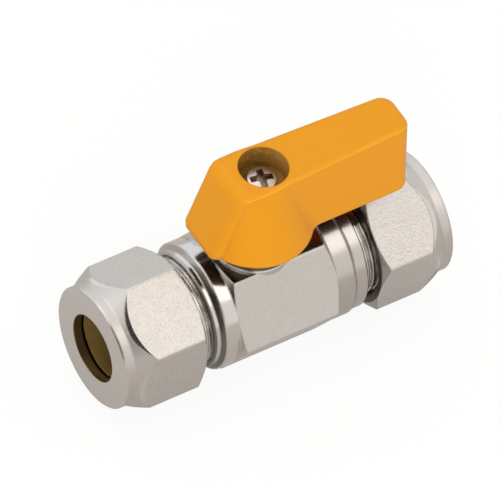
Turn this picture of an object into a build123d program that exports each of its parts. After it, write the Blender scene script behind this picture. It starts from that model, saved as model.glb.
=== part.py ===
"""Mini ball valve with two compression ends for 10 mm tube, in millimetres.

The pipe runs along X and the stem stands along +Z. The origin is on the pipe axis,
half way along the wall of the inlet's tube socket. The lever lies along the pipe: open.
"""

import os
from math import atan2, cos, pi, radians, sin, sqrt, tan

from build123d import *

# Tube and the sockets that hold it
TUBE_R = 5.0
SOCKET_CLEARANCE = 0.05
SOCKET_R = TUBE_R + SOCKET_CLEARANCE
SOCKET_LENGTH = 6.0
WATERWAY_R = 3.6

# Stations along the pipe axis
INLET_STOP_TO_STEM = 12.0
STEM_TO_OUTLET_STOP = 15.35
STOP_TO_FACE = 13.7
INLET_STOP = SOCKET_LENGTH / 2
STEM_X = INLET_STOP + INLET_STOP_TO_STEM
OUTLET_STOP = STEM_X + STEM_TO_OUTLET_STOP
INLET_FACE = INLET_STOP - STOP_TO_FACE
OUTLET_FACE = OUTLET_STOP + STOP_TO_FACE
INWARD_FROM_INLET, INWARD_FROM_OUTLET = 1, -1

# Compression nuts
NUT_AF = 19.0
INLET_NUT_LENGTH = 13.25
OUTLET_NUT_LENGTH = 12.3
NUT_RIM_R = 9.27
NUT_RIM_LENGTH = 1.6
NUT_CONE_ANGLE = 30.0
NUT_EDGE_R = 0.45
NUT_RIM_BREAK = 0.2
NUT_BORE_CLEARANCE = 0.15
NUT_LAND = 1.3
INLET_NUT_TURN = 31.0
OUTLET_NUT_TURN = 39.6

# Compression threads, left smooth at their outside diameter
THREAD_R = 8.0
THREAD_CLEARANCE = 0.1
THREAD_CHAMFER = 0.5

# Olives, the soft brass rings between the nut's cone and the socket's mouth
OLIVE_CLEARANCE = 0.05
OLIVE_WALL = 1.25
OLIVE_LIP = 0.25
OLIVE_GAP = 0.28

# Hexagon body
BODY_AF = 19.2
BODY_EDGE_R = 0.25
HEX_OVERLAP = 1.0
HEX_LEFT = 6.98
HEX_RIGHT = 9.58
HEX_LEFT_CHAMFER = 0.38
HEX_RIGHT_CHAMFER = 0.98
COLLAR_R = 9.65
COLLAR_LENGTH = 2.12
COLLAR_CHAMFER = 0.7
SHOULDER_R = 8.7
SHOULDER_LENGTH = 1.0
RING_R = 9.6
RING_LENGTH = 3.02
RING_BREAK = 0.25

# Ball, its seats and the chamber around them
BALL_R = 6.5
CHAMBER_CLEARANCE = 0.3
SEAT_OUT = 7.1
SEAT_IN = 4.4
SEAT_BALL_GAP = 0.1
SEAT_CLEARANCE = 0.1

# Screwed-in insert
INSERT_THREAD_R = 8.2
INSERT_CLEARANCE = 0.05
FLANGE_R = 9.3
FLANGE_LENGTH = 2.2
INSERT_SEAL_SECTION = 0.8

# Stem and its bearing in the boss
STEM_R = 3.0
STEM_CLEARANCE = 0.05
STEM_COLLAR_R = 4.2
STEM_COLLAR_HEIGHT = 1.2
STEM_COLLAR_CLEARANCE = 0.15
STEM_FLAT = 2.1
TANG_WIDTH = 2.4
TANG_CLEARANCE = 0.1
TANG_LENGTH = 7.6
SLOT_TO_WATERWAY = 0.9
SLOT_FLOOR = WATERWAY_R + SLOT_TO_WATERWAY
SHELF_OVER_BALL = 0.5
STEM_SHELF = BALL_R + SHELF_OVER_BALL
WASHER_THICKNESS = 0.5
O_RING_SECTION = 1.0
O_RING_SQUEEZE_GAP = 0.03
O_RING_SIDE_PLAY = 0.15
O_RING_HEIGHTS = (10.3, 13.0)

# Boss on the body's top flat
BOSS_R = 6.0
BOSS_TOP = 13.0
NECK_R = 5.4
NECK_TOP = 16.1
STOP_R = 5.9
STOP_WIDTH_ANGLE = 24.0
STOP_PLAY_ANGLE = 1.5
LEVER_TRAVEL = 90.0

# Lever
LEVER_BOTTOM = 13.5
LEVER_HEIGHT = 12.6
LEVER_TOP = LEVER_BOTTOM + LEVER_HEIGHT
FOOT_TIP = 23.2
TOP_TIP = 22.8
LEVER_TIP_R = 2.0
LEVER_EDGE_R = 0.6
LEVER_FOOT_EDGE_R = 0.4
HEEL_UNDER_R = 1.2
HEEL_EDGE_R = 1.4
FOOT_HEEL = 9.75
FOOT_HEEL_NEAR_HALF = 3.75
FOOT_HEEL_FAR_HALF = 4.9
FOOT_HEEL_R = 1.5
FOOT_HALF = 4.6
TOP_HEEL = 6.1
TOP_HEEL_HALF = 4.6
TOP_TIP_HALF = 3.4
TOP_HEEL_R = 0.9
HUB_R = 8.4
HUB_HEEL_R = 8.75
HUB_BLEND_R = 2.5
TOP_HUB_STRIP = 0.15
TOP_HUB_END = 1.0
TOP_BLEND_END = 3.0
TOP_CROWN = 0.04
HUB_ROOF = 16.4
HUB_CLEARANCE = 0.25
CORE_WIDTH = 5.0
CORE_START = 9.4
CORE_TIP_WALL = 2.2
CORE_ROOF_WALL = 2.4
CORE_DRAFT = 3.0
WELL_R = 3.68
WELL_DEPTH = 4.0
WELL_FLOOR = LEVER_TOP - WELL_DEPTH
FLOOR_THICKNESS = 1.6
SOCKET_FLAT_CLEARANCE = 0.05
STEM_TOP_GAP = 0.3

# Handle screw
SCREW_R = 1.45
SCREW_CLEARANCE = 0.05
SCREW_HOLE_CLEARANCE = 0.2
SCREW_LENGTH = 8.0
SCREW_HEAD_R = 2.1
SCREW_HEAD_HEIGHT = 1.7
SCREW_HEAD_RIM = 1.45
RECESS_SPAN = 3.4
RECESS_WIDTH = 1.0
RECESS_CENTRE_R = 0.85
RECESS_DEPTH = 1.3
RECESS_TURN = -15.0

STEM_AXIS = Axis((STEM_X, 0, 0), (0, 0, 1))
BODY_FLAT = BODY_AF / 2
BODY_CORNER_R = BODY_AF / sqrt(3)
NUT_CORNER_R = NUT_AF / sqrt(3)
CORE_R = BODY_FLAT - HEX_OVERLAP
BODY_LEFT = STEM_X - HEX_LEFT
BODY_RIGHT = STEM_X + HEX_RIGHT
BODY_END = BODY_RIGHT + RING_LENGTH
FLANGE_END = BODY_END + FLANGE_LENGTH
SHOULDER_START = BODY_LEFT - COLLAR_LENGTH - COLLAR_CHAMFER - SHOULDER_LENGTH
CHAMBER_R = BALL_R + CHAMBER_CLEARANCE
NUT_BORE_R = TUBE_R + NUT_BORE_CLEARANCE
NUT_THREAD_R = THREAD_R + THREAD_CLEARANCE
STEM_BORE_R = STEM_R + STEM_CLEARANCE
STEM_COLLAR_TOP = STEM_SHELF + STEM_COLLAR_HEIGHT
STEM_CEILING = STEM_COLLAR_TOP + WASHER_THICKNESS
STEM_TOP = WELL_FLOOR - FLOOR_THICKNESS - STEM_TOP_GAP
O_RING_CENTRE_R = STEM_BORE_R - O_RING_SQUEEZE_GAP - O_RING_SECTION / 2
O_RING_GROOVE_R = O_RING_CENTRE_R - O_RING_SECTION / 2 - O_RING_SQUEEZE_GAP
O_RING_GROOVE_HALF = O_RING_SECTION / 2 + O_RING_SIDE_PLAY

# The olive sits between the nut's cone, 45 degrees, and the socket's mouth, 45 degrees
OLIVE_R = SOCKET_R + OLIVE_CLEARANCE
OLIVE_OUT_R = OLIVE_R + OLIVE_WALL
OLIVE_LIP_R = OLIVE_R + OLIVE_LIP
MOUTH_DEPTH = OLIVE_OUT_R + OLIVE_GAP - SOCKET_R
OLIVE_OUTER_END = NUT_LAND + OLIVE_LIP_R + OLIVE_GAP - NUT_BORE_R
OLIVE_TAPER = OLIVE_WALL - OLIVE_LIP
SOCKET_START = STOP_TO_FACE - SOCKET_LENGTH
MOUTH_START = SOCKET_START - MOUTH_DEPTH
OLIVE_INNER_END = SOCKET_START - (OLIVE_LIP_R + OLIVE_GAP - SOCKET_R)


def from_face(face, inward, points):
    """Points (depth behind a nut's outer face, radius) as (x, z) in the XZ plane."""
    return [(face + inward * depth, radius) for depth, radius in points]


def about_stem(points):
    """Points (radius, height) about the stem's axis as (x, z) in the XZ plane."""
    return [(STEM_X + radius, height) for radius, height in points]


def nut_envelope(face, inward, length):
    """Outside of a nut: round rim, cone over the hexagon's corners, broken inner edge."""
    cone = (NUT_CORNER_R - NUT_RIM_R) / tan(radians(NUT_CONE_ANGLE))
    corner_break = NUT_CORNER_R - NUT_AF / 2
    return from_face(face, inward, [
        (0, 0),
        (0, NUT_RIM_R - NUT_RIM_BREAK),
        (NUT_RIM_BREAK, NUT_RIM_R),
        (NUT_RIM_LENGTH, NUT_RIM_R),
        (NUT_RIM_LENGTH + cone, NUT_CORNER_R),
        (length - corner_break * tan(radians(NUT_CONE_ANGLE)), NUT_CORNER_R),
        (length, NUT_AF / 2),
        (length, 0),
    ])


def nut_hollow(face, inward, length):
    """Inside of a nut: tube bore, 45 degree cone on the olive, thread bore."""
    thread_start = NUT_LAND + NUT_THREAD_R - NUT_BORE_R
    return from_face(face, inward, [
        (0, 0),
        (0, NUT_BORE_R),
        (NUT_LAND, NUT_BORE_R),
        (thread_start, NUT_THREAD_R),
        (length - THREAD_CHAMFER, NUT_THREAD_R),
        (length, NUT_THREAD_R + THREAD_CHAMFER),
        (length, 0),
    ])


def olive_section(face, inward):
    """Section of an olive: a barrel with both ends tapered at 45 degrees."""
    return from_face(face, inward, [
        (OLIVE_OUTER_END, OLIVE_R),
        (OLIVE_OUTER_END, OLIVE_LIP_R),
        (OLIVE_OUTER_END + OLIVE_TAPER, OLIVE_OUT_R),
        (OLIVE_INNER_END - OLIVE_TAPER, OLIVE_OUT_R),
        (OLIVE_INNER_END, OLIVE_LIP_R),
        (OLIVE_INNER_END, OLIVE_R),
    ])


def thread_end(face, inward, shoulder):
    """Half outline of a compression end, from its mouth to a shoulder at a depth."""
    return from_face(face, inward, [
        (MOUTH_START, 0),
        (MOUTH_START, THREAD_R - THREAD_CHAMFER),
        (MOUTH_START + THREAD_CHAMFER, THREAD_R),
        (shoulder, THREAD_R),
    ])


def socket_hollow(face, inward, depth):
    """Hollow of a compression end: mouth cone, tube socket, waterway to a depth."""
    return from_face(face, inward, [
        (MOUTH_START, 0),
        (MOUTH_START, SOCKET_R + MOUTH_DEPTH),
        (SOCKET_START, SOCKET_R),
        (STOP_TO_FACE, SOCKET_R),
        (STOP_TO_FACE, WATERWAY_R),
        (depth, WATERWAY_R),
        (depth, 0),
    ])


def seat_section(inward):
    """Section of a seat ring, with the hollow that fits the ball."""
    hollow_r = BALL_R + SEAT_BALL_GAP
    outer_r = CHAMBER_R - SEAT_CLEARANCE
    touch_r = sqrt(hollow_r**2 - SEAT_IN**2)
    throat = sqrt(hollow_r**2 - WATERWAY_R**2)
    middle = (atan2(touch_r, SEAT_IN) + atan2(WATERWAY_R, throat)) / 2
    place = [
        (SEAT_IN, touch_r),
        (SEAT_IN, outer_r),
        (SEAT_OUT, outer_r),
        (SEAT_OUT, WATERWAY_R),
        (throat, WATERWAY_R),
        (hollow_r * cos(middle), hollow_r * sin(middle)),
    ]
    return [(STEM_X + inward * x, r) for x, r in place]


def sector(radius, start, end):
    """Corner points of a pie slice wide enough to reach past a radius."""
    steps = 4
    reach = radius / cos(radians((end - start) / steps / 2)) * 1.01
    turns = [radians(start + (end - start) * step / steps) for step in range(steps + 1)]
    return [(0, 0)] + [(reach * cos(turn), reach * sin(turn)) for turn in turns]


def between(start, end, share):
    """The point a share of the way from one point to another."""
    return tuple(a + (b - a) * share for a, b in zip(start, end))


def corner_middle(centre, radius, quarter):
    """Middle of a quarter-round corner, where quarter is the angle at its middle."""
    return (centre[0] + radius * cos(radians(quarter)), centre[1] + radius * sin(radians(quarter)))


def rounding(radius, depth):
    """How far a rounded edge is pulled in at a depth below its face."""
    return radius - sqrt(radius**2 - max(radius - depth, 0)**2)


def heel_points(heel, half, radius):
    """Rounded corner at the lever's heel: start, middle, end."""
    centre = (radius - heel, radius - half)
    return [(-heel, centre[1]), corner_middle(centre, radius, 225), (centre[0], -half)]


def tip_points(tip, half):
    """Rounded corner at the lever's tip: start, middle, end."""
    centre = (tip - LEVER_TIP_R, LEVER_TIP_R - half)
    return [(centre[0], -half), corner_middle(centre, LEVER_TIP_R, 315), (tip, centre[1])]


def foot_outline(inset, heel_inset, foot_heel_half):
    """One half of the lever's outline at its foot, where the round hub is widest."""
    half, heel_half, hub = FOOT_HALF - inset, foot_heel_half - heel_inset, HUB_R - inset
    hub_start = (-sqrt((HUB_HEEL_R - inset)**2 - heel_half**2), -heel_half)
    blend = (sqrt((hub + HUB_BLEND_R)**2 - (half + HUB_BLEND_R)**2), -half - HUB_BLEND_R)
    hub_end = between((0, 0), blend, hub / (hub + HUB_BLEND_R))
    start_turn = atan2(hub_start[1], hub_start[0])
    end_turn = atan2(hub_end[1], hub_end[0])
    hub_turn = (start_turn + end_turn) / 2
    blend_turn = (end_turn + pi + pi / 2) / 2
    return [
        *heel_points(FOOT_HEEL - heel_inset, heel_half, FOOT_HEEL_R - heel_inset),
        hub_start,
        (hub * cos(hub_turn), hub * sin(hub_turn)),
        hub_end,
        (blend[0] + HUB_BLEND_R * cos(blend_turn), blend[1] + HUB_BLEND_R * sin(blend_turn)),
        (blend[0], -half),
        *tip_points(FOOT_TIP - inset, half),
    ]


def top_outline(inset, heel_inset):
    """One half of the lever's outline at its top, where the hub is lost in the bar."""
    taper = (TOP_HEEL_HALF - TOP_TIP_HALF) / (TOP_HEEL + TOP_TIP)

    def side(x, crown=0.0):
        return (x, inset - crown - TOP_HEEL_HALF + taper * (x + TOP_HEEL))

    heel_end = heel_inset - TOP_HEEL + TOP_HEEL_R
    start = heel_end + TOP_HUB_STRIP
    heel_half = -side(heel_end)[1]
    tip_half = -side(TOP_TIP - inset - LEVER_TIP_R)[1]
    return [
        *heel_points(TOP_HEEL - heel_inset, heel_half, TOP_HEEL_R),
        side(start),
        side((start + TOP_HUB_END) / 2, TOP_CROWN),
        side(TOP_HUB_END),
        side((TOP_HUB_END + TOP_BLEND_END) / 2, -TOP_CROWN / 2),
        side(TOP_BLEND_END),
        *tip_points(TOP_TIP - inset, tip_half),
    ]


def lever_outline(height, foot_heel_half):
    """One half of the lever's outline at a height, on the side of negative Y."""
    up, down = height - LEVER_BOTTOM, LEVER_TOP - height
    inset = rounding(LEVER_FOOT_EDGE_R, up) + rounding(LEVER_EDGE_R, down)
    heel_inset = rounding(HEEL_UNDER_R, up) + rounding(HEEL_EDGE_R, down)
    foot = foot_outline(inset, heel_inset, foot_heel_half)
    return [between(*pair, up / LEVER_HEIGHT) for pair in zip(foot, top_outline(inset, heel_inset))]


# Body
with BuildPart() as valve_body:
    with BuildSketch(Plane.YZ.offset(BODY_LEFT)) as hexagon:
        RegularPolygon(BODY_CORNER_R, 6)
        fillet(hexagon.vertices(), BODY_EDGE_R)
    extrude(amount=HEX_LEFT + HEX_RIGHT)
    with BuildSketch(Plane.XZ):
        with BuildLine():
            Polyline(
                (BODY_LEFT, 0),
                (BODY_LEFT, BODY_FLAT),
                (BODY_LEFT + HEX_LEFT_CHAMFER, BODY_CORNER_R),
                (BODY_RIGHT - HEX_RIGHT_CHAMFER, BODY_CORNER_R),
                (BODY_RIGHT, BODY_FLAT),
                (BODY_RIGHT, 0),
                close=True,
            )
        make_face()
    revolve(axis=Axis.X, mode=Mode.INTERSECT)
    with BuildSketch(Plane.XZ):
        with BuildLine():
            Polyline(
                *thread_end(INLET_FACE, INWARD_FROM_INLET, SHOULDER_START - INLET_FACE),
                (SHOULDER_START, SHOULDER_R - RING_BREAK),
                (SHOULDER_START + RING_BREAK, SHOULDER_R),
                (SHOULDER_START + SHOULDER_LENGTH, SHOULDER_R),
                (BODY_LEFT - COLLAR_LENGTH, COLLAR_R),
                (BODY_LEFT, COLLAR_R),
                (BODY_LEFT, CORE_R),
                (BODY_RIGHT, CORE_R),
                (BODY_RIGHT, RING_R),
                (BODY_END - RING_BREAK, RING_R),
                (BODY_END, RING_R - RING_BREAK),
                (BODY_END, 0),
                close=True,
            )
        make_face()
    revolve(axis=Axis.X)
    with BuildSketch(Plane.XZ):
        with BuildLine():
            Polyline(
                *about_stem([
                    (0, 0),
                    (BOSS_R, 0),
                    (BOSS_R, BOSS_TOP - RING_BREAK),
                    (BOSS_R - RING_BREAK, BOSS_TOP),
                    (NECK_R, BOSS_TOP),
                    (NECK_R, NECK_TOP),
                    (0, NECK_TOP),
                ]),
                close=True,
            )
        make_face()
    revolve(axis=STEM_AXIS)
    with BuildSketch(Plane((STEM_X, 0, BOSS_TOP))):
        Circle(STOP_R)
        with BuildLine(mode=Mode.PRIVATE) as stop_slice:
            Polyline(
                *sector(STOP_R, 180 - STOP_WIDTH_ANGLE / 2, 180 + STOP_WIDTH_ANGLE / 2),
                close=True,
            )
        make_face(stop_slice.edges(), mode=Mode.INTERSECT)
    extrude(amount=NECK_TOP - BOSS_TOP)
    with BuildSketch(Plane.XZ):
        with BuildLine():
            Polyline(
                *socket_hollow(
                    INLET_FACE, INWARD_FROM_INLET, STEM_X - SEAT_OUT - INLET_FACE
                )[:-1],
                (STEM_X - SEAT_OUT, CHAMBER_R),
                (STEM_X + SEAT_OUT, CHAMBER_R),
                (STEM_X + SEAT_OUT, INSERT_THREAD_R + INSERT_CLEARANCE),
                (BODY_END, INSERT_THREAD_R + INSERT_CLEARANCE),
                (BODY_END, 0),
                close=True,
            )
        make_face()
    revolve(axis=Axis.X, mode=Mode.SUBTRACT)
    with BuildSketch(Plane.XZ):
        with BuildLine():
            Polyline(
                *about_stem([
                    (0, 0),
                    (STEM_COLLAR_R + STEM_COLLAR_CLEARANCE, 0),
                    (STEM_COLLAR_R + STEM_COLLAR_CLEARANCE, STEM_CEILING),
                    (STEM_BORE_R, STEM_CEILING),
                    (STEM_BORE_R, NECK_TOP),
                    (0, NECK_TOP),
                ]),
                close=True,
            )
        make_face()
    revolve(axis=STEM_AXIS, mode=Mode.SUBTRACT)

# Insert
with BuildPart() as body_insert:
    with BuildSketch(Plane.XZ):
        with BuildLine():
            Polyline(
                *thread_end(OUTLET_FACE, INWARD_FROM_OUTLET, OUTLET_FACE - FLANGE_END),
                (FLANGE_END, FLANGE_R - RING_BREAK),
                (FLANGE_END - RING_BREAK, FLANGE_R),
                (BODY_END + RING_BREAK, FLANGE_R),
                (BODY_END, FLANGE_R - RING_BREAK),
                (BODY_END, INSERT_THREAD_R - INSERT_SEAL_SECTION),
                (BODY_END - INSERT_SEAL_SECTION * 2, INSERT_THREAD_R - INSERT_SEAL_SECTION),
                (BODY_END - INSERT_SEAL_SECTION * 2, INSERT_THREAD_R),
                (STEM_X + SEAT_OUT + THREAD_CHAMFER, INSERT_THREAD_R),
                (STEM_X + SEAT_OUT, INSERT_THREAD_R - THREAD_CHAMFER),
                (STEM_X + SEAT_OUT, 0),
                close=True,
            )
        make_face()
    revolve(axis=Axis.X)
    with BuildSketch(Plane.XZ):
        with BuildLine():
            Polyline(
                *socket_hollow(
                    OUTLET_FACE, INWARD_FROM_OUTLET, OUTLET_FACE - STEM_X - SEAT_OUT
                ),
                close=True,
            )
        make_face()
    revolve(axis=Axis.X, mode=Mode.SUBTRACT)

# Seal between the insert and the body
with BuildPart() as insert_seal:
    with BuildSketch(Plane.XZ):
        with Locations((BODY_END - INSERT_SEAL_SECTION, INSERT_THREAD_R - INSERT_SEAL_SECTION / 2)):
            Rectangle(INSERT_SEAL_SECTION * 2, INSERT_SEAL_SECTION)
    revolve(axis=Axis.X)

# Compression nuts
with BuildPart() as inlet_nut:
    with BuildSketch(Plane.YZ.offset(INLET_FACE)) as hexagon:
        RegularPolygon(NUT_CORNER_R, 6, rotation=INLET_NUT_TURN)
        fillet(hexagon.vertices(), NUT_EDGE_R)
    extrude(amount=INLET_NUT_LENGTH)
    with BuildSketch(Plane.XZ):
        with BuildLine():
            Polyline(*nut_envelope(INLET_FACE, INWARD_FROM_INLET, INLET_NUT_LENGTH), close=True)
        make_face()
    revolve(axis=Axis.X, mode=Mode.INTERSECT)
    with BuildSketch(Plane.XZ):
        with BuildLine():
            Polyline(*nut_hollow(INLET_FACE, INWARD_FROM_INLET, INLET_NUT_LENGTH), close=True)
        make_face()
    revolve(axis=Axis.X, mode=Mode.SUBTRACT)

with BuildPart() as outlet_nut:
    with BuildSketch(Plane.YZ.offset(OUTLET_FACE)) as hexagon:
        RegularPolygon(NUT_CORNER_R, 6, rotation=OUTLET_NUT_TURN)
        fillet(hexagon.vertices(), NUT_EDGE_R)
    extrude(amount=-OUTLET_NUT_LENGTH)
    with BuildSketch(Plane.XZ):
        with BuildLine():
            Polyline(*nut_envelope(OUTLET_FACE, INWARD_FROM_OUTLET, OUTLET_NUT_LENGTH), close=True)
        make_face()
    revolve(axis=Axis.X, mode=Mode.INTERSECT)
    with BuildSketch(Plane.XZ):
        with BuildLine():
            Polyline(*nut_hollow(OUTLET_FACE, INWARD_FROM_OUTLET, OUTLET_NUT_LENGTH), close=True)
        make_face()
    revolve(axis=Axis.X, mode=Mode.SUBTRACT)

# Olives
with BuildPart() as inlet_olive:
    with BuildSketch(Plane.XZ):
        with BuildLine():
            Polyline(*olive_section(INLET_FACE, INWARD_FROM_INLET), close=True)
        make_face()
    revolve(axis=Axis.X)

with BuildPart() as outlet_olive:
    with BuildSketch(Plane.XZ):
        with BuildLine():
            Polyline(*olive_section(OUTLET_FACE, INWARD_FROM_OUTLET), close=True)
        make_face()
    revolve(axis=Axis.X)

# Ball, bored along the pipe, with a slot across it for the stem's tang
with BuildPart() as ball:
    with Locations((STEM_X, 0, 0)):
        Sphere(BALL_R)
        Cylinder(WATERWAY_R, BALL_R * 3, rotation=(0, 90, 0), mode=Mode.SUBTRACT)
    with BuildSketch(Plane((STEM_X, 0, SLOT_FLOOR))):
        Rectangle(TANG_WIDTH + 2 * TANG_CLEARANCE, BALL_R * 3)
    extrude(amount=BALL_R, mode=Mode.SUBTRACT)

# Seats
with BuildPart() as seat_inlet:
    with BuildSketch(Plane.XZ):
        with BuildLine():
            section = seat_section(-1)
            Polyline(*section[:5])
            ThreePointArc(section[4], section[5], section[0])
        make_face()
    revolve(axis=Axis.X)

with BuildPart() as seat_outlet:
    with BuildSketch(Plane.XZ):
        with BuildLine():
            section = seat_section(1)
            Polyline(*section[:5])
            ThreePointArc(section[4], section[5], section[0])
        make_face()
    revolve(axis=Axis.X)

# Stem: tang, retaining collar, two ring grooves, two flats for the lever, screw hole
with BuildPart() as stem:
    with BuildSketch(Plane.XZ):
        with BuildLine():
            Polyline(
                *about_stem([
                    (0, STEM_SHELF),
                    (STEM_COLLAR_R, STEM_SHELF),
                    (STEM_COLLAR_R, STEM_COLLAR_TOP),
                    (STEM_R, STEM_COLLAR_TOP),
                    (STEM_R, STEM_TOP - RING_BREAK),
                    (STEM_R - RING_BREAK, STEM_TOP),
                    (0, STEM_TOP),
                ]),
                close=True,
            )
        make_face()
        with Locations(*about_stem([(STEM_R, height) for height in O_RING_HEIGHTS])):
            Rectangle(
                2 * (STEM_R - O_RING_GROOVE_R), 2 * O_RING_GROOVE_HALF, mode=Mode.SUBTRACT
            )
    revolve(axis=STEM_AXIS)
    with BuildSketch(Plane((STEM_X, 0, HUB_ROOF))):
        Circle(STEM_R * 2)
        Rectangle(STEM_R * 4, STEM_FLAT * 2, mode=Mode.SUBTRACT)
    extrude(amount=STEM_TOP - HUB_ROOF, mode=Mode.SUBTRACT)
    with BuildSketch(Plane((STEM_X, 0, SLOT_FLOOR + TANG_CLEARANCE))):
        Rectangle(TANG_WIDTH, TANG_LENGTH)
    extrude(amount=STEM_SHELF - SLOT_FLOOR - TANG_CLEARANCE)
    with Locations((STEM_X, 0, STEM_TOP)):
        Hole(SCREW_R + SCREW_CLEARANCE, SCREW_LENGTH)

with BuildPart() as thrust_washer:
    with BuildSketch(Plane((STEM_X, 0, STEM_COLLAR_TOP))):
        Circle(STEM_COLLAR_R)
        Circle(STEM_BORE_R, mode=Mode.SUBTRACT)
    extrude(amount=WASHER_THICKNESS)

with BuildPart() as stem_o_ring_lower:
    with Locations((STEM_X, 0, O_RING_HEIGHTS[0])):
        Torus(O_RING_CENTRE_R, O_RING_SECTION / 2)

with BuildPart() as stem_o_ring_upper:
    with Locations((STEM_X, 0, O_RING_HEIGHTS[1])):
        Torus(O_RING_CENTRE_R, O_RING_SECTION / 2)

# Lever: a bar that grows out of a round hub, cored below, with a well for its screw
LEVER_SECTIONS = (
    LEVER_BOTTOM,
    LEVER_BOTTOM + LEVER_FOOT_EDGE_R * 0.4,
    LEVER_BOTTOM + LEVER_FOOT_EDGE_R,
    LEVER_BOTTOM + HEEL_UNDER_R,
    LEVER_TOP - HEEL_EDGE_R,
    LEVER_TOP - LEVER_EDGE_R,
    LEVER_TOP - LEVER_EDGE_R * 0.3,
    LEVER_TOP,
)
with BuildPart() as handle:
    for height in LEVER_SECTIONS:
        near = lever_outline(height, FOOT_HEEL_NEAR_HALF)
        far = [(x, -y) for x, y in lever_outline(height, FOOT_HEEL_FAR_HALF)]
        with BuildSketch(Plane((STEM_X, 0, height))):
            with BuildLine():
                Line(near[0], far[0])
                for side in (near, far):
                    ThreePointArc(*side[0:3])
                    Line(side[2], side[3])
                    ThreePointArc(*side[3:6])
                    ThreePointArc(*side[5:8])
                    Line(side[7], side[8])
                    ThreePointArc(*side[8:11])
                Line(near[10], far[10])
            make_face()
    loft(ruled=True)
    with BuildSketch(Plane.XZ):
        with BuildLine():
            Polyline(
                *about_stem([
                    (0, LEVER_BOTTOM),
                    (NECK_R + HUB_CLEARANCE, LEVER_BOTTOM),
                    (NECK_R + HUB_CLEARANCE, HUB_ROOF),
                    (SCREW_R + SCREW_HOLE_CLEARANCE, HUB_ROOF),
                    (SCREW_R + SCREW_HOLE_CLEARANCE, WELL_FLOOR),
                    (WELL_R, WELL_FLOOR),
                    (WELL_R, LEVER_TOP),
                    (0, LEVER_TOP),
                ]),
                close=True,
            )
        make_face()
    revolve(axis=STEM_AXIS, mode=Mode.SUBTRACT)
    with BuildSketch(Plane((STEM_X, 0, HUB_ROOF))):
        Circle(STEM_R + SOCKET_FLAT_CLEARANCE)
        Rectangle(STEM_R * 4, 2 * (STEM_FLAT + SOCKET_FLAT_CLEARANCE), mode=Mode.INTERSECT)
    extrude(amount=WELL_FLOOR - FLOOR_THICKNESS - HUB_ROOF, mode=Mode.SUBTRACT)
    with BuildSketch(Plane((STEM_X, 0, LEVER_BOTTOM))):
        Circle(STOP_R + HUB_CLEARANCE)
        with BuildLine(mode=Mode.PRIVATE) as recess_slice:
            Polyline(
                *sector(
                    STOP_R + HUB_CLEARANCE,
                    180 - STOP_WIDTH_ANGLE / 2 - STOP_PLAY_ANGLE,
                    180 + STOP_WIDTH_ANGLE / 2 + STOP_PLAY_ANGLE + LEVER_TRAVEL,
                ),
                close=True,
            )
        make_face(recess_slice.edges(), mode=Mode.INTERSECT)
    extrude(amount=HUB_ROOF - LEVER_BOTTOM, mode=Mode.SUBTRACT)
    with BuildSketch(Plane((STEM_X, 0, LEVER_BOTTOM))):
        with Locations(((CORE_START + TOP_TIP - CORE_TIP_WALL) / 2, 0)):
            RectangleRounded(TOP_TIP - CORE_TIP_WALL - CORE_START, CORE_WIDTH, CORE_WIDTH / 5)
    extrude(amount=LEVER_HEIGHT - CORE_ROOF_WALL, taper=CORE_DRAFT, mode=Mode.SUBTRACT)

# Handle screw
with BuildPart() as handle_screw:
    with BuildSketch(Plane.XZ):
        with BuildLine():
            crown = WELL_FLOOR + SCREW_HEAD_HEIGHT
            Polyline(
                *about_stem([
                    (0, crown),
                    (0, WELL_FLOOR - SCREW_LENGTH),
                    (SCREW_R - RING_BREAK, WELL_FLOOR - SCREW_LENGTH),
                    (SCREW_R, WELL_FLOOR - SCREW_LENGTH + RING_BREAK),
                    (SCREW_R, WELL_FLOOR),
                    (SCREW_HEAD_R, WELL_FLOOR),
                    (SCREW_HEAD_R, WELL_FLOOR + SCREW_HEAD_RIM),
                ])
            )
            TangentArc(
                *about_stem([(0, crown), (SCREW_HEAD_R, WELL_FLOOR + SCREW_HEAD_RIM)]),
                tangent=(1, 0),
            )
        make_face()
    revolve(axis=STEM_AXIS)
    with BuildSketch(Plane((STEM_X, 0, WELL_FLOOR + SCREW_HEAD_HEIGHT - RECESS_DEPTH))):
        Rectangle(RECESS_SPAN, RECESS_WIDTH, rotation=RECESS_TURN)
        Rectangle(RECESS_WIDTH, RECESS_SPAN, rotation=RECESS_TURN)
        Circle(RECESS_CENTRE_R)
    extrude(amount=RECESS_DEPTH, mode=Mode.SUBTRACT)

os.makedirs("parts", exist_ok=True)
NODES = {
    "valve_body": valve_body,
    "body_insert": body_insert,
    "insert_seal": insert_seal,
    "inlet_nut": inlet_nut,
    "outlet_nut": outlet_nut,
    "inlet_olive": inlet_olive,
    "outlet_olive": outlet_olive,
    "ball": ball,
    "seat_inlet": seat_inlet,
    "seat_outlet": seat_outlet,
    "stem": stem,
    "thrust_washer": thrust_washer,
    "stem_o_ring_lower": stem_o_ring_lower,
    "stem_o_ring_upper": stem_o_ring_upper,
    "handle": handle,
    "handle_screw": handle_screw,
}
for name, node in NODES.items():
    node.part.label = name
    export_step(node.part, f"parts/{name}.step")
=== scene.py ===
"""Looks of the mini ball valve: plating, lever coating, compression threads, studio."""

from math import cos, pi, radians, tan
from typing import NamedTuple

import bmesh
import bpy
from mathutils import Matrix, Vector


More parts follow.
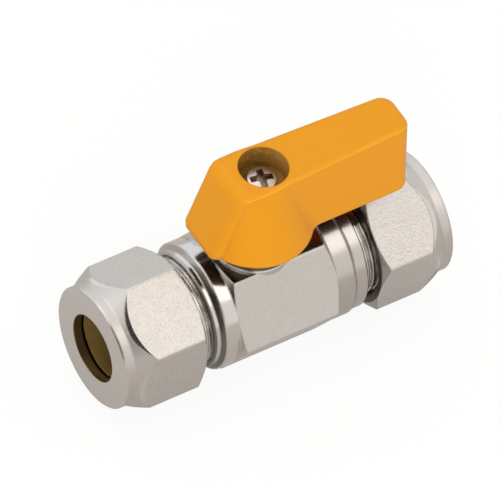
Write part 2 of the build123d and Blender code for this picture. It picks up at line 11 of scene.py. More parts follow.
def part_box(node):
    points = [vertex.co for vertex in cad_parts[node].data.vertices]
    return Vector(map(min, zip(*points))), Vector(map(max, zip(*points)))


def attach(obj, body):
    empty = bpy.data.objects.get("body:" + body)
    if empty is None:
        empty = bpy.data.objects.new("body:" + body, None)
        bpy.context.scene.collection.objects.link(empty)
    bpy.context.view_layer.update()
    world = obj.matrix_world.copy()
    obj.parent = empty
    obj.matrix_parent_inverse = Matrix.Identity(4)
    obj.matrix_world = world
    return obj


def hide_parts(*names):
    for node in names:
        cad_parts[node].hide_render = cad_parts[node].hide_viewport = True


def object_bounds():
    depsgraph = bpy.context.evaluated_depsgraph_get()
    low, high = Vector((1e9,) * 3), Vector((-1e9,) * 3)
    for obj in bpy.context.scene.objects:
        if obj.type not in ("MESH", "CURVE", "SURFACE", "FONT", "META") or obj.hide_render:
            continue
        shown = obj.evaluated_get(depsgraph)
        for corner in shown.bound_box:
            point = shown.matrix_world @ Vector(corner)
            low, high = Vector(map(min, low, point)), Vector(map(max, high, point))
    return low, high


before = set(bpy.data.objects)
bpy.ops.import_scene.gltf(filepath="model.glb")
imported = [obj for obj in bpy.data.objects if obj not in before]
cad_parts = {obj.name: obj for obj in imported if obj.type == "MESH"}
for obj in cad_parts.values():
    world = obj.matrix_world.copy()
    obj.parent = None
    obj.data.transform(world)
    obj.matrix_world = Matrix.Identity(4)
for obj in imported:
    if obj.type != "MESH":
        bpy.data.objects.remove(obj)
cad_box = [list(corner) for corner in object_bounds()]

MM = 0.001

# Lever and screw
STEM_X = 15.0 * MM
LEVER_BOTTOM = 13.5 * MM
LEVER_TOP = 26.1 * MM
LEVER_ROUNDING = 0.4 * MM
PEEL_DEPTH = 0.006 * MM
# Heights over which the painted shade on the lever's underside fades
UNDERSIDE_FADE = (LEVER_BOTTOM + 0.05 * MM, LEVER_BOTTOM + 0.3 * MM)
# Heights of the painted highlight along the lever's top edges
EDGE_HIGHLIGHT_FROM = (LEVER_TOP - 0.45 * MM, LEVER_TOP - 0.3 * MM)
EDGE_HIGHLIGHT_TO = (LEVER_TOP - 0.15 * MM, LEVER_TOP)
WELL_R = 3.68 * MM
WELL_FADE = (WELL_R + 0.01 * MM, WELL_R + 0.12 * MM)
WELL_LIP = 0.12 * MM
# Direction across the screw's well towards its wall with painted light
WELL_LIT_SIDE = (0.85, -0.53)
RECESS_FADE = (0.7 * MM, 0.45 * MM)
SCREW_WEAR_DEPTH = 0.01 * MM
SCREW_ROUNDING = 0.1 * MM

# Nuts
NUT_FLAT = 9.5 * MM
NUT_CORNER_R = NUT_FLAT / cos(pi / 6)
NUT_FLAT_START = NUT_FLAT - 0.06 * MM
NUT_FACES = (-10.7 * MM, 44.05 * MM)
NUT_FACE_SKIN = 0.4 * MM
NUT_RIM_R = 9.27 * MM
NUT_RIM_LENGTH = 1.6 * MM
NUT_CONE_RISE = tan(radians(30.0))
NUT_THREAD_R = 8.7 * MM
NUT_BORE_R = 5.15 * MM
NUT_BORE_FADE = (NUT_BORE_R + 0.02 * MM, NUT_BORE_R + 0.1 * MM)
FLAT_END = 0.9 * MM
FLAT_END_DROP = 0.29 * MM

# Body
BODY_FLAT = 9.6 * MM
HEX_SPAN = (8.02 * MM, 24.58 * MM)
HEX_SKIN = 0.02 * MM
CHAMFER_LENGTH = 1.0 * MM
# Height over which the painted shade on the hexagon's far chamfer grows
CHAMFER_FADE = (0.0, 8.0 * MM)
# Boss wall's heights: painted highlight at its foot, painted shade above
BOSS_START = (BODY_FLAT + 0.02 * MM, BODY_FLAT + 0.06 * MM)
BOSS_FOOT = (9.95 * MM, 10.15 * MM)
SOCKET_MOUTH_R = 7.2 * MM
CHAMBER_HALF = 7.5 * MM
# Painted shade on two bands of the inlet collar, stronger towards -Y
SHADED_BAND_SPANS = ((4.1 * MM, 4.75 * MM), (5.2 * MM, 5.8 * MM))
SHADED_BAND_SOFT = 0.1 * MM
SHADED_BAND_R = 8.4 * MM
SHADED_BAND_FADE = (-7.0 * MM, 3.0 * MM)
RING_R = 8.5 * MM

# Compression threads
THREAD_R = 8.0 * MM
THREAD_DEPTH = 0.5 * MM
THREAD_PITCH = 1.0 * MM
THREAD_RUN_OUT = 0.5 * MM
THREAD_FLANK = (0.2, 0.55)
THREAD_STEPS_AROUND = 145
THREAD_STEPS_ALONG = 101
THREAD_SPANS = {"valve_body": (-4.08 * MM, 4.2 * MM), "body_insert": (29.8 * MM, 37.43 * MM)}
SEAM_GAP = 0.001 * MM
DOUBLE_GAP = 0.0005 * MM
BAND_SLACK = 0.02 * MM
SHARP_ANGLE = radians(28)

# How far a surface faces along the pipe, from 0 to 1, or upwards or sideways on the lever
FLAT_FACING = (0.1, 0.3)
CONE_FACING = (0.3, 0.4)
CHAMFER_FACING = (0.3, 0.5)
NUT_FACE_FACING = (0.6, 0.7)
INNER_END_FACING = (0.8, 0.95)
UNDERSIDE_FACING = (-0.9, -0.5)
EDGE_HIGHLIGHT_FACING = (0.3, 0.6)

# Fine patterns, in grains or lines a metre, and their depths
PLATE_GRAINS = 3200.0
PLATE_CLOUDS = 260.0
PLATE_LINES = 7000.0
PLATE_DEPTH = 0.006 * MM
PLATE_ROUNDING = 0.4 * MM
BRASS_CLOUDS = 500.0
BRASS_LINES = 9000.0
BRASS_DEPTH = 0.004 * MM
BRASS_ROUNDING = 0.06 * MM
LEVER_DRIFTS = 60.0
LEVER_PEEL = 900.0
WELL_DUST = 1400.0
SCREW_WEAR = 2200.0
SOFT_MOTTLE = 1500.0
SOFT_DEPTH = 0.004 * MM

# Colours, linear
PLATE = (0.68, 0.628, 0.577, 1)
PLATE_GRAIN = (0.56, 0.515, 0.47, 1)
# Painted shade on the nuts' inner ends and thread bores
NUT_INNER_SHADE = (0.10, 0.085, 0.07, 1)
# Painted shade and painted highlight for the boss under the lever
BOSS_SHADE = (0.19, 0.138, 0.09, 1)
BOSS_FOOT_HIGHLIGHT = (0.96, 0.93, 0.90, 1)
# Brass darkened as painted shade, for the nuts' tube bores
BORE_SHADED_BRASS = (0.26, 0.18, 0.07, 1)
# Painted shade for the collar's bands and the hexagon's far chamfer
BAND_SHADE_GREY = (0.13, 0.12, 0.11, 1)
BRASS = (0.64, 0.46, 0.16, 1)
BRASS_DULL = (0.48, 0.34, 0.11, 1)
LEVER_ORANGE = (0.83, 0.332, 0.007, 1)
LEVER_DEEP = (0.80, 0.315, 0.006, 1)
# Painted highlight along the lever's top edges
LEVER_EDGE_HIGHLIGHT = (0.98, 0.45, 0.04, 1)
# Painted shade for the lever's underside
LEVER_UNDERSIDE_SHADE = (0.07, 0.035, 0.012, 1)
# Screw's well: painted shade on the wall, painted light on its lit side
WELL_SHADED_BROWN = (0.20, 0.13, 0.034, 1)
WELL_LIT_TAN = (0.44, 0.245, 0.07, 1)
SCREW_STEEL = (0.62, 0.51, 0.46, 1)
# Painted shade in the screw's recess, also the colour of its worn mottle
SCREW_SHADE_AND_WEAR = (0.28, 0.19, 0.12, 1)
SEAT_WHITE = (0.80, 0.80, 0.78, 1)
SEAT_SHADE = (0.72, 0.72, 0.70, 1)
RING_BLACK = (0.02, 0.02, 0.02, 1)
RING_SHADE = (0.035, 0.035, 0.035, 1)
FLOOR_PAPER = (0.70, 0.67, 0.64, 1)
CARD_DARK = (0.06, 0.055, 0.05, 1)
LAMP_WHITE = (1.0, 0.975, 0.95)
WHITE = (1, 1, 1, 1)
COOL_WHITE = (0.99, 1.07, 1.14, 1)

# Studio, in metres; a direction points from the valve to the lamp or card
FLOOR_WIDTH = 6.0
LAMPS = {
    "key_light": dict(direction=(0.40, -0.432, 0.812), distance=1.6, size=0.8, radiance=0.84),
    "top_light": dict(direction=(-0.1, 0.35, 0.93), distance=1.8, size=1.2, radiance=1.1),
    "fill_light": dict(direction=(-0.55, -0.75, 0.35), distance=1.5, size=1.0, radiance=2.7, mirrored=False),
}
CARDS = {
    "card_between_lights": dict(direction=(-0.30, -0.62, 0.72), distance=1.2, width=0.46, height=1.5),
    "card_at_left": dict(direction=(-0.88, -0.32, 0.22), distance=1.2, width=1.0, height=1.0),
}

# Camera of the photograph: the axes of its picture, and how far its middle lies from the stem
SIGHT_BACK = Vector((-0.39451, -0.49602, 0.77351)).normalized()
SIGHT_RIGHT = Vector((0.36095, 0.69048, 0.62686)).cross(SIGHT_BACK).normalized()
SIGHT_UP = SIGHT_BACK.cross(SIGHT_RIGHT)
SIGHT_SHIFT = (0.531 * MM, 4.645 * MM)
SIGHT_DISTANCE = 2.916
SIGHT_LIMIT = 50.0
LENS_MM = 1479.8
SENSOR_MM = 36.0


class Wire:
    """A socket of a node tree: arithmetic adds Math nodes, node() adds any other node."""

    def __init__(self, tree, socket=None):
        self.tree = tree
        self.socket = socket

    def node(self, kind, sockets=None, output=0, **settings):
        made = self.tree.nodes.new(kind)
        for name, value in settings.items():
            setattr(made, name, value)
        for name, value in (sockets or {}).items():
            if isinstance(value, Wire):
                self.tree.links.new(value.socket, made.inputs[name])
            else:
                made.inputs[name].default_value = value
        return Wire(self.tree, made.outputs[output] if made.outputs else None)

    def other(self, output):
        return Wire(self.tree, self.socket.node.outputs[output])

    def math(self, operation, *values):
        return self.node("ShaderNodeMath", dict(enumerate(values)), operation=operation)

    def __add__(self, value):
        return self.math("ADD", self, value)

    def __sub__(self, value):
        return self.math("SUBTRACT", self, value)

    def __rsub__(self, value):
        return self.math("SUBTRACT", value, self)

    def __mul__(self, value):
        return self.math("MULTIPLY", self, value)

    def __truediv__(self, value):
        return self.math("DIVIDE", self, value)

    def __pow__(self, value):
        return self.math("POWER", self, value)

    def __gt__(self, value):
        return self.math("GREATER_THAN", self, value)

    def __lt__(self, value):
        return self.math("LESS_THAN", self, value)

    def __abs__(self):
        return self.math("ABSOLUTE", self)

    __radd__ = __add__
    __rmul__ = __mul__


class Spot(NamedTuple):
    """A point of the plate: its place, its distance from the pipe's axis, how far it faces along it."""

    x: Wire
    y: Wire
    z: Wire
    around: Wire
    lengthwise: Wire


class Plating(NamedTuple):
    """How strong the grain of the flats is, and how dull and rough the matt parts are."""

    grain_depth: float
    grain_shade: float
    matt_dull: float
    matt_rough: float


def rise(value, start, end):
    """0 before start, 1 after end, smooth between."""
    return value.node(
        "ShaderNodeMapRange",
        {"Value": value, "From Min": start, "From Max": end},
        interpolation_type="SMOOTHSTEP",
    )


def larger(first, second):
    """The larger of two values."""
    return first.math("MAXIMUM", first, second)


def smaller(first, second):
    """The smaller of two values."""
    return first.math("MINIMUM", first, second)


def blend_colour(share, low, high):
    """A colour from low to high, by a share from 0 to 1."""
    return share.node("ShaderNodeMix", {0: share, 6: low, 7: high}, output=2, data_type="RGBA")


def noise(tree, place, scale, detail=2.0, rough=0.5):
    """Noise from 0 to 1 about 0.5, with scale in grains a metre."""
    return tree.node(
        "ShaderNodeTexNoise",
        {"Vector": place, "Scale": scale, "Detail": detail, "Roughness": rough},
    )


def lines(tree, along, scale):
    """Uneven fine lines across a length."""
    return tree.node(
        "ShaderNodeTexNoise",
        {"W": along, "Scale": scale, "Detail": 3.0},
        noise_dimensions="1D",
    )


def radius_from(a, b):
    """Distance from an axis, from the two coordinates across it."""
    return (a * a + b * b) ** 0.5


def facing(tree, axis):
    """How far the surface faces along an axis of the object, from -1 to 1."""
    normal = tree.node("ShaderNodeTexCoord", output="Normal")
    return tree.node("ShaderNodeSeparateXYZ", {"Vector": normal}, output=axis)


def start_finish(name, **constants):
    """A material, its shader, its tree and the object's own x, y, z."""
    finish = bpy.data.materials.new(name)
    finish.use_nodes = True
    shader = finish.node_tree.nodes["Principled BSDF"]
    for socket, value in constants.items():
        shader.inputs[socket.replace("_", " ")].default_value = value
    tree = Wire(finish.node_tree)
    place = tree.node("ShaderNodeTexCoord", output="Object")
    x = tree.node("ShaderNodeSeparateXYZ", {"Vector": place})
    return finish, shader, tree, place, x, x.other("Y"), x.other("Z")


def feed(shader, **wires):
    """Links wires into the shader's sockets."""
    for socket, wire in wires.items():
        wire.tree.links.new(wire.socket, shader.inputs[socket.replace("_", " ")])


def relief(tree, height, depth, rounding=0.0):
    """A normal from a height and the depth in metres of a height of 1, with softened edges."""
    sockets = {"Height": height, "Distance": depth, "Strength": 1.0}
    if rounding:
        sockets["Normal"] = tree.node("ShaderNodeBevel", {"Radius": rounding}, samples=4)
    return tree.node("ShaderNodeBump", sockets)


def plated_finish(name, plating, flats_of, matt_of, inside_of, painted_light_of, drop_of=None):
    """Bright plate: fine blasted grain on the spanner flats, turning lines on what is round.

    Each function gives a share from 0 to 1 for a spot: how flat, matt or inside it is, and how much painted
    light or shade it gets, the last two with a colour, and how far the end of a flat has dropped.
    """
    finish, shader, tree, place, x, y, z = start_finish(name, Metallic=1.0)
    spot = Spot(x, y, z, radius_from(y, z), abs(facing(tree, "X")))
    drop = drop_of(spot) if drop_of else spot.lengthwise * 0.0
    flats = flats_of(spot) * (1 - rise(spot.lengthwise, *FLAT_FACING)) * (1 - rise(drop, 0.0, 0.1))
    matt = matt_of(spot)
    inside, inside_colour = inside_of(spot)
    painted_light, painted_light_colour = painted_light_of(spot)
    grain = noise(tree, place, PLATE_GRAINS, 3.0, 0.6)
    cloud = noise(tree, place, PLATE_CLOUDS, 3.0)
    turned = lines(tree, x + spot.around, PLATE_LINES)
    shaded = flats * rise(grain, 0.4, 0.7) * plating.grain_shade
    plate = blend_colour(shaded + cloud * 0.25 + matt * plating.matt_dull, PLATE, PLATE_GRAIN)
    # Painted light and shade laid over the plate
    outside = blend_colour(painted_light, plate, painted_light_colour)
    texture = flats * grain * plating.grain_depth + (1 - flats) * turned * 0.35
    rough = 0.1 + flats * 0.16 + (inside + painted_light) * 0.2 + matt * plating.matt_rough
    feed(
        shader,
        Base_Color=blend_colour(inside, outside, inside_colour),
        Roughness=rough + (turned + cloud) * 0.05,
        Normal=relief(tree, texture - drop * (FLAT_END_DROP / PLATE_DEPTH), PLATE_DEPTH, PLATE_ROUNDING),
    )
    return finish


def nut_flats(spot):
    """The nuts' spanner flats."""
    return spot.around > NUT_FLAT_START


def nut_matt(spot):
    """The nuts' rims and cones, which are turned but not polished."""
    rim = (spot.around > NUT_THREAD_R) * (spot.around < NUT_FLAT_START)
    turned = larger(rim, rise(spot.lengthwise, *CONE_FACING))
    return turned * (1 - rise(spot.lengthwise, *NUT_FACE_FACING))


def nut_inside(spot):
    """The nuts' tube bores, in brass darkened as painted shade."""
    return 1 - rise(spot.around, *NUT_BORE_FADE), BORE_SHADED_BRASS


def nut_painted_shade(spot):
    """The nuts' inner ends and thread bores, darkened as painted shade in the gap between nut and body."""
    low, high = NUT_FACES
    between_faces = (spot.x > low + NUT_FACE_SKIN) * (spot.x < high - NUT_FACE_SKIN)
    ends = rise(spot.lengthwise, *INNER_END_FACING)
    return between_faces * larger(ends, spot.around < NUT_THREAD_R), NUT_INNER_SHADE


def nut_drop(spot):
    """The nuts' spanner flats, rounded off along the arcs where the cones cut them."""
    low, high = NUT_FACES
    from_face = smaller(spot.x - low, high - spot.x)
    past_arc = from_face - NUT_RIM_LENGTH - (spot.around - NUT_RIM_R) / NUT_CONE_RISE
    width = (NUT_CORNER_R - spot.around) * (FLAT_END / (NUT_CORNER_R - NUT_FLAT))
    near = past_arc.node("ShaderNodeMapRange", {"Value": width - past_arc, "From Max": FLAT_END})
    return near * (spot.lengthwise < CONE_FACING[0]) * nut_flats(spot)


def body_flats(spot):
    """The sides of the body's hexagon, without the top that the boss stands on."""
    low, high = HEX_SPAN
    between_ends = (spot.x > low) * (spot.x < high)
    return between_ends * (spot.around > NUT_FLAT) * (spot.z < BODY_FLAT - HEX_SKIN)


def body_matt(spot):
    """The ring and the flange on the outlet's side, which are turned but less polished."""
    return (spot.x > HEX_SPAN[1]) * (spot.around > RING_R)


def body_inside(spot):
    """The tube sockets and the waterway."""
    return (spot.around < SOCKET_MOUTH_R) * (abs(spot.x - STEM_X) > CHAMBER_HALF), BRASS


def body_painted_light(spot):
    """The boss under the lever, with a painted highlight at its foot and painted shade above it, and painted
    shade on two bands of the collar and on the hexagon's far chamfer.
    """
    # Painted highlight at the boss's foot, painted shade above it
    boss = rise(spot.z, *BOSS_START)
    wall = blend_colour(rise(spot.z, *BOSS_FOOT), BOSS_FOOT_HIGHLIGHT, BOSS_SHADE)
    # Painted shade on two bands of the collar, stronger towards -Y
    shaded_bands = 0.0
    for low, high in SHADED_BAND_SPANS:
        start = rise(spot.x, low, low + SHADED_BAND_SOFT)
        shaded_bands = start * (1 - rise(spot.x, high - SHADED_BAND_SOFT, high)) + shaded_bands
    shaded_bands = shaded_bands * (spot.around > SHADED_BAND_R) * (0.85 - 0.5 * rise(spot.y, *SHADED_BAND_FADE))
    # Painted shade on the hexagon's far chamfer, darker towards the top
    at_end = (spot.x > HEX_SPAN[1] - CHAMFER_LENGTH) * (spot.x < HEX_SPAN[1])
    chamfer = rise(spot.lengthwise, *CHAMFER_FACING) * at_end * rise(spot.z, *CHAMFER_FADE)
    return larger(boss, shaded_bands + chamfer * 0.7), blend_colour(boss, BAND_SHADE_GREY, wall)


def brass_finish(name):
    """Plain turned brass, a little tarnished."""
    finish, shader, tree, place, x, y, z = start_finish(name, Metallic=0.75)
    cloud = noise(tree, place, BRASS_CLOUDS, 4.0)
    turned = lines(tree, x + radius_from(y, z), BRASS_LINES)
    feed(
        shader,
        Base_Color=blend_colour(cloud, BRASS, BRASS_DULL),
        Roughness=0.26 + turned * 0.16,
        Normal=relief(tree, turned, BRASS_DEPTH, BRASS_ROUNDING),
    )
    return finish


def lever_finish(name):
    """Smooth coating on a cast lever, with a painted highlight along its top edges, dust and painted light
    and shade in the screw's well, and painted shade on its underside.
    """
    finish, shader, tree, place, x, y, z = start_finish(name, Specular_IOR_Level=0.22)
    drift = noise(tree, place, LEVER_DRIFTS, 2.0)
    peel = noise(tree, place, LEVER_PEEL, 1.0)
    dust = noise(tree, place, WELL_DUST, 4.0, 0.7)
    coat = blend_colour(drift, LEVER_ORANGE, LEVER_DEEP)
    # Painted highlight along the top edges of the lever's sides
    top_edge = rise(z, *EDGE_HIGHLIGHT_FROM) * (1 - rise(z, *EDGE_HIGHLIGHT_TO))
    sideways = rise(abs(facing(tree, "Y")), *EDGE_HIGHLIGHT_FACING)
    edge_highlight = blend_colour(top_edge * sideways * 0.6, coat, LEVER_EDGE_HIGHLIGHT)
    well_wall = radius_from(x - STEM_X, y)
    in_well = (1 - rise(well_wall, *WELL_FADE)) * (z < LEVER_TOP - WELL_LIP)
    # Screw's well: painted shade, lighter towards one side as painted light, with dust mottle over it
    lit_x, lit_y = WELL_LIT_SIDE
    lit_side = ((x - STEM_X) * lit_x + y * lit_y) / WELL_R
    well_light_and_shade = blend_colour(rise(lit_side, -0.1, 1.0), WELL_SHADED_BROWN, WELL_LIT_TAN)
    well_dust_and_shade = blend_colour(rise(dust, 0.45, 0.85), well_light_and_shade, LEVER_DEEP)
    above = blend_colour(in_well * (1 - 0.25 * dust), edge_highlight, well_dust_and_shade)
    # Painted shade on the lever's underside and on faces turned downwards
    low = 1 - rise(z, *UNDERSIDE_FADE)
    below = larger(low, 1 - rise(facing(tree, "Z"), *UNDERSIDE_FACING))
    feed(
        shader,
        Base_Color=blend_colour(below, above, LEVER_UNDERSIDE_SHADE),
        Roughness=0.36 + 0.08 * drift + 0.3 * in_well,
        Normal=relief(tree, peel + in_well * dust * 4.0, PEEL_DEPTH, LEVER_ROUNDING),
    )
    return finish


def screw_finish(name):
    """Zinc-plated steel, with painted shade in its cross recess and a worn mottle."""
    finish, shader, tree, place, x, y, z = start_finish(name, Metallic=1.0)
    head_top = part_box("handle_screw")[1].z
    worn = noise(tree, place, SCREW_WEAR, 3.0)
    # Painted shade in the cross recess, deeper is darker
    recess = 1 - rise(z, *(head_top - depth for depth in RECESS_FADE))
    feed(
        shader,
        Base_Color=blend_colour(recess * 0.8 + 0.2 * worn, SCREW_STEEL, SCREW_SHADE_AND_WEAR),
        Roughness=0.24 + 0.2 * worn,
        Normal=relief(tree, worn, SCREW_WEAR_DEPTH, SCREW_ROUNDING),
    )
    return finish


def soft_finish(name, colour, shade, rough):
    """Plain moulded plastic or rubber with a faint mottle."""
    finish, shader, tree, place, x, y, z = start_finish(name)
    mottle = noise(tree, place, SOFT_MOTTLE, 3.0)
    feed(
        shader,
        Base_Color=blend_colour(mottle, colour, shade),
        Roughness=rough + 0.1 * mottle,
        Normal=relief(tree, mottle, SOFT_DEPTH),
    )
    return finish


def thread_tree():
    """Geometry nodes for a thread: a sleeve about X whose radius follows a helix."""
    tree = bpy.data.node_groups.new("compression_thread", "GeometryNodeTree")
    face = tree.interface
    face.new_socket("Geometry", in_out="OUTPUT", socket_type="NodeSocketGeometry")
    for name in ("Start", "Length", "Radius", "Depth", "Pitch", "Run-out"):
        face.new_socket(name, in_out="INPUT", socket_type="NodeSocketFloat")
    for name in ("Steps Around", "Steps Along"):
        face.new_socket(name, in_out="INPUT", socket_type="NodeSocketInt")
    face.new_socket("Material", in_out="INPUT", socket_type="NodeSocketMaterial")
    given = Wire(tree).node("NodeGroupInput")
    grid = given.node(
        "GeometryNodeMeshGrid",
        {
            "Size X": 1.0,
            "Size Y": 1.0,
            "Vertices X": given.other("Steps Around"),
            "Vertices Y": given.other("Steps Along"),
        },
    )
    across = given.node("ShaderNodeSeparateXYZ", {"Vector": given.node("GeometryNodeInputPosition")})
    turn = across + 0.5
    along = (across.other("Y") + 0.5) * given.other("Length")
    x = along + given.other("Start")
    turns_past = x / given.other("Pitch") - turn
    phase = turns_past.math("FRACT", turns_past)
    crest = rise(abs(phase * 2.0 - 1.0), *THREAD_FLANK)
    to_end = smaller(along, given.other("Length") - along)
    fade = to_end.node("ShaderNodeMapRange", {"Value": to_end, "From Max": given.other("Run-out")})
    radius = given.other("Radius") - given.other("Depth") * (1 - crest) * fade
    angle = turn * (2 * pi)
    spot = given.node(
        "ShaderNodeCombineXYZ",
        {"X": x, "Y": radius * angle.math("COSINE", angle), "Z": radius * angle.math("SINE", angle)},
    )
    sleeve = given.node("GeometryNodeSetPosition", {"Geometry": grid, "Position": spot})
    closed = given.node("GeometryNodeMergeByDistance", {"Geometry": sleeve, "Distance": SEAM_GAP})
    plain = given.node("GeometryNodeRealizeInstances", {"Geometry": closed})
    dressed = given.node("GeometryNodeSetMaterial", {"Geometry": plain, "Material": given.other("Material")})
    given.node("NodeGroupOutput", {"Geometry": dressed})
    return tree


def thread_mesh(tree, span, finish):
    """Mesh of a thread over a span of X."""
    carrier = bpy.data.objects.new("thread_carrier", bpy.data.meshes.new("thread_carrier"))
    bpy.context.scene.collection.objects.link(carrier)
    maker = carrier.modifiers.new("thread", "NODES")
    maker.node_group = tree
    values = {
        "Start": span[0],
        "Length": span[1] - span[0],
        "Radius": THREAD_R,
        "Depth": THREAD_DEPTH,
        "Pitch": THREAD_PITCH,
        "Run-out": THREAD_RUN_OUT,
        "Steps Around": THREAD_STEPS_AROUND,
        "Steps Along": THREAD_STEPS_ALONG,
        "Material": finish,
    }
    for item in tree.interface.items_tree:
        if item.in_out == "INPUT":
            maker[item.identifier] = values[item.name]
    mesh = bpy.data.meshes.new_from_object(carrier.evaluated_get(bpy.context.evaluated_depsgraph_get()))
    carrier.modifiers.remove(maker)
    bpy.data.objects.remove(carrier)
    return mesh


def threaded_piece(node, tree, finish):
    """A copy of a node whose smooth thread band is exchanged for a cut thread."""
    span = THREAD_SPANS[node]
    work = bmesh.new()
    work.from_mesh(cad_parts[node].data)
    bmesh.ops.remove_doubles(work, verts=work.verts, dist=DOUBLE_GAP)

    def on_band(corner):
        level = span[0] - BAND_SLACK <= corner.co.x <= span[1] + BAND_SLACK
        return level and abs(corner.co.yz.length - THREAD_R) < BAND_SLACK

    band = [face for face in work.faces if all(on_band(corner) for corner in face.verts)]
    bmesh.ops.delete(work, geom=band, context="FACES")
    work.from_mesh(thread_mesh(tree, span, finish))
    mesh = bpy.data.meshes.new(f"{node}_threaded")
    work.to_mesh(mesh)
    work.free()
    spare = mesh.attributes.get("custom_normal")
    if spare:
        mesh.attributes.remove(spare)
    mesh.materials.clear()
    mesh.materials.append(finish)
    mesh.shade_smooth()
    mesh.set_sharp_from_angle(angle=SHARP_ANGLE)
    piece = bpy.data.objects.new(f"{node}_threaded", mesh)
    bpy.context.scene.collection.objects.link(piece)
    level = piece.modifiers.new("even_shading", "WEIGHTED_NORMAL")
    level.keep_sharp = True
    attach(piece, "valve")
    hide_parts(node)


def dress(node, finish):
    """Gives a node its finish."""
    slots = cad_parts[node].data.materials
    slots.clear()
    slots.append(finish)


def seen_share(tree, *kinds):
    """1 for rays of the named kinds."""
    paths = tree.node("ShaderNodeLightPath")
    share = paths.other(kinds[0])
    for kind in kinds[1:]:
        share = larger(share, paths.other(kind))
    return share


def floor_finish():
    """Pale floor that the camera sees as white, with a soft shadow."""
    finish = bpy.data.materials.new("studio_floor")
    finish.use_nodes = True
    tree = Wire(finish.node_tree)
    finish.node_tree.nodes.clear()
    paper = tree.node("ShaderNodeBsdfDiffuse", {"Color": FLOOR_PAPER})
    seen = seen_share(tree, "Is Camera Ray", "Is Transmission Ray")
    mirrored = seen_share(tree, "Is Glossy Ray")
    glow = tree.node("ShaderNodeEmission", {"Color": WHITE, "Strength": 0.64 + seen * 0.42})
    share = larger(seen * 0.85, mirrored * 0.5)
    mixed = tree.node("ShaderNodeMixShader", {0: share, 1: paper, 2: glow})
    tree.node("ShaderNodeOutputMaterial", {"Surface": mixed})
    return finish


def flat_board(name, width, height, place, facing_to, finish):
    """A board at a place, facing a direction, which is part of the studio."""
    turn = Vector(facing_to).to_track_quat("Z", "Y").to_matrix()
    signs = ((-1, -1), (1, -1), (1, 1), (-1, 1))
    corners = [Vector(place) + turn @ Vector((a * width / 2, b * height / 2, 0)) for a, b in signs]
    mesh = bpy.data.meshes.new(name)
    mesh.from_pydata(corners, [], [(0, 1, 2, 3)])
    mesh.materials.append(finish)
    board = bpy.data.objects.new(name, mesh)
    bpy.context.scene.collection.objects.link(board)
    return board


def card_finish():
    """Dark card without any shine."""
    finish = bpy.data.materials.new("dark_card")
    finish.use_nodes = True
    shader = finish.node_tree.nodes["Principled BSDF"]
    shader.inputs["Base Color"].default_value = CARD_DARK
    shader.inputs["Specular IOR Level"].default_value = 0.0
    return finish


def dark_card(name, finish, target, direction, distance, width, height):
    """A dark card that only the polished plate reflects."""
    away = Vector(direction).normalized()
    card = flat_board(name, width, height, target + away * distance, -away, finish)
    card.visible_camera = False
    card.visible_diffuse = False
    card.visible_transmission = False
    card.visible_shadow = False


def soft_lamp(name, target, direction, distance, size, radiance, mirrored=True):
    """A square soft box that faces the valve; radiance is how bright it looks in a mirror."""
    lamp = bpy.data.lights.new(name, "AREA")
    lamp.color = LAMP_WHITE
    lamp.shape = "SQUARE"
    lamp.size = size
    lamp.energy = radiance * pi * size * size
    box = bpy.data.objects.new(name, lamp)
    away = Vector(direction).normalized()
    box.location = target + away * distance
    box.rotation_euler = away.to_track_quat("Z", "Y").to_euler()
    box.visible_glossy = mirrored
    bpy.context.scene.collection.objects.link(box)


def studio_world():
    """White surroundings, with less light on what isn't a mirror."""
    world = bpy.data.worlds.new("studio")
    bpy.context.scene.world = world
    world.use_nodes = True
    world.node_tree.nodes.clear()
    tree = Wire(world.node_tree)
    seen = seen_share(tree, "Is Camera Ray", "Is Glossy Ray", "Is Transmission Ray")
    towards = tree.node("ShaderNodeTexCoord", output="Generated")
    behind = rise(tree.node("ShaderNodeSeparateXYZ", {"Vector": towards}, output="Y"), 0.0, 0.8)
    sky = blend_colour(behind * seen_share(tree, "Is Glossy Ray"), WHITE, COOL_WHITE)
    glow = tree.node("ShaderNodeBackground", {"Color": sky, "Strength": 0.74 + seen * 0.26})
    tree.node("ShaderNodeOutputWorld", {"Surface": glow})


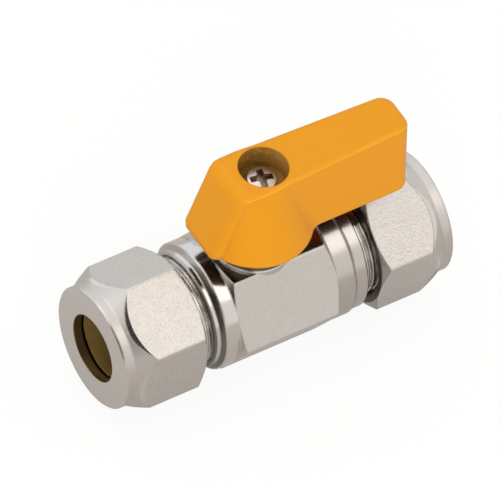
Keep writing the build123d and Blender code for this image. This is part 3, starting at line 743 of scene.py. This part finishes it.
def photo_camera(target):
    """The camera that sees the valve as the photograph does."""
    lens = bpy.data.cameras.new("photo_camera")
    lens.sensor_width = SENSOR_MM
    lens.lens = LENS_MM
    lens.clip_end = SIGHT_LIMIT
    camera = bpy.data.objects.new("photo_camera", lens)
    turn = Matrix((SIGHT_RIGHT, SIGHT_UP, SIGHT_BACK)).transposed().to_quaternion()
    camera.rotation_euler = turn.to_euler()
    right, up = SIGHT_SHIFT
    camera.location = target + SIGHT_RIGHT * right + SIGHT_UP * up + SIGHT_BACK * SIGHT_DISTANCE
    bpy.context.scene.collection.objects.link(camera)
    bpy.context.scene.camera = camera


nut_plating = Plating(grain_depth=12.0, grain_shade=0.7, matt_dull=0.45, matt_rough=0.24)
body_plating = Plating(grain_depth=4.0, grain_shade=0.5, matt_dull=0.9, matt_rough=0.09)
nut_plate = plated_finish("nut_plate", nut_plating, nut_flats, nut_matt, nut_inside, nut_painted_shade, nut_drop)
body_plate = plated_finish("body_plate", body_plating, body_flats, body_matt, body_inside, body_painted_light)
brass = brass_finish("turned_brass")
seat_plastic = soft_finish("seat_plastic", SEAT_WHITE, SEAT_SHADE, 0.45)
ring_rubber = soft_finish("ring_rubber", RING_BLACK, RING_SHADE, 0.5)
finishes = {
    "inlet_nut": nut_plate,
    "outlet_nut": nut_plate,
    "ball": body_plate,
    "inlet_olive": brass,
    "outlet_olive": brass,
    "stem": brass,
    "handle": lever_finish("lever_coating"),
    "handle_screw": screw_finish("screw_steel"),
    "seat_inlet": seat_plastic,
    "seat_outlet": seat_plastic,
    "thrust_washer": seat_plastic,
    "insert_seal": seat_plastic,
    "stem_o_ring_lower": ring_rubber,
    "stem_o_ring_upper": ring_rubber,
}
for node, finish in finishes.items():
    dress(node, finish)
threads = thread_tree()
for node in THREAD_SPANS:
    threaded_piece(node, threads, body_plate)

middle = Vector((STEM_X, 0, 0))
photo_camera(middle)
studio_world()
floor_middle = (STEM_X, 0, cad_box[0][2])
flat_board("studio_floor", FLOOR_WIDTH, FLOOR_WIDTH, floor_middle, (0, 0, 1), floor_finish())
for name, settings in LAMPS.items():
    soft_lamp(name, middle, **settings)
card_dull = card_finish()
for name, settings in CARDS.items():
    dark_card(name, card_dull, middle, **settings)
bpy.context.scene.view_settings.view_transform = "Standard"
